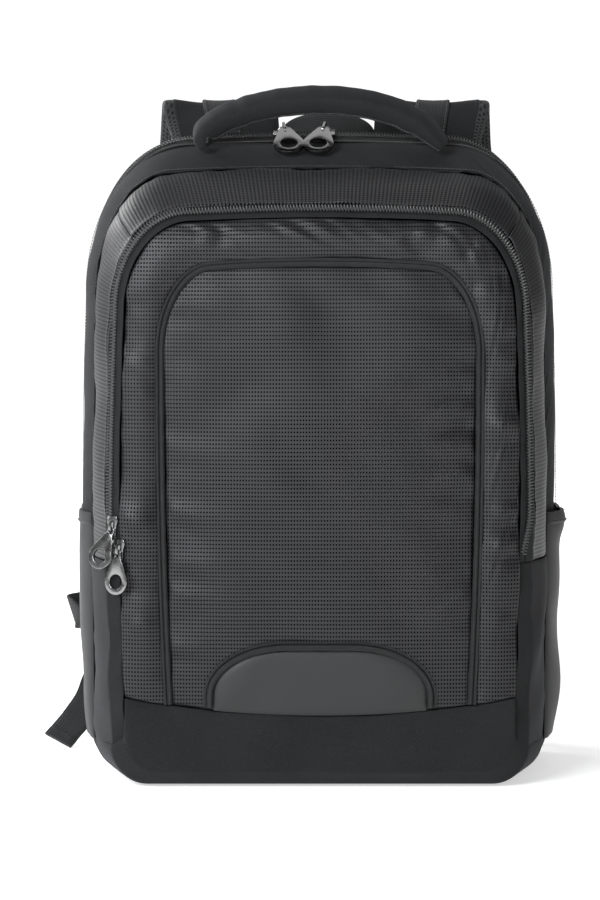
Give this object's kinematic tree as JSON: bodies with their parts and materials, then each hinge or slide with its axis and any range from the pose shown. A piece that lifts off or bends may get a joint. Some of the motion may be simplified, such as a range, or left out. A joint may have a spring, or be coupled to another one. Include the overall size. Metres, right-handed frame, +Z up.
{
  "type": "laptop backpack",
  "caption": "Upright laptop backpack with a zipped main compartment, zipped front compartment, side pockets, top handle and padded shoulder straps.",
  "frame": {"origin": "on the floor, in the middle of the flat underside of the main compartment", "axes": "+Z up, the zipped front faces -Y, the padded back faces +Y, +X to the right seen from the front"},
  "size_m": [0.3857, 0.24, 0.4955],
  "materials": {
    "patterned_nylon": "charcoal nylon woven with rows of small dots, slight sheen",
    "plain_cloth": "plain dense black cloth, matt",
    "webbing": "black woven webbing and zip tape",
    "smooth_cloth": "smooth coated cloth, satin grey",
    "back_mesh": "black spacer mesh over foam",
    "piping_and_coil": "black cloth piping and nylon zip coil",
    "buckle": "black moulded plastic",
    "gunmetal": "dark polished metal"
  },
  "bodies": {
    "root": {"front_gusset_left": "patterned_nylon", "front_gusset_top": "patterned_nylon", "front_gusset_right": "patterned_nylon", "front_surround": "patterned_nylon", "pocket_panel": "patterned_nylon", "main_gusset_rear": "plain_cloth", "main_gusset_front": "plain_cloth", "base_gusset": "plain_cloth", "corner_panel_left": "plain_cloth", "corner_panel_right": "plain_cloth", "bottom_band": "plain_cloth", "divider_panel": "plain_cloth", "carry_handle": "plain_cloth", "strap_anchor_cover": "plain_cloth", "shoulder_strap_left": "plain_cloth", "shoulder_strap_right": "plain_cloth", "strap_tab_left": "plain_cloth", "strap_tab_right": "plain_cloth", "main_zip_tape": "webbing", "front_zip_tape": "webbing", "hang_loop": "webbing", "strap_webbing_left": "webbing", "strap_webbing_right": "webbing", "lower_webbing_left": "webbing", "lower_webbing_right": "webbing", "webbing_tail_left": "webbing", "webbing_tail_right": "webbing", "badge_patch": "smooth_cloth", "side_pocket_left": "smooth_cloth", "side_pocket_right": "smooth_cloth", "pocket_hem_left": "smooth_cloth", "pocket_hem_right": "smooth_cloth", "back_panel": "back_mesh", "main_zip_coil": "piping_and_coil", "front_zip_coil": "piping_and_coil", "pocket_piping": "piping_and_coil", "patch_piping": "piping_and_coil", "strap_buckle_left": "buckle", "strap_buckle_right": "buckle", "zip_slider_front_upper": "gunmetal", "zip_pull_front_upper": "gunmetal", "zip_slider_front_lower": "gunmetal", "zip_pull_front_lower": "gunmetal", "zip_slider_top_left": "gunmetal", "zip_pull_top_left": "gunmetal", "zip_slider_top_right": "gunmetal", "zip_pull_top_right": "gunmetal"}
  },
  "joints": []
}
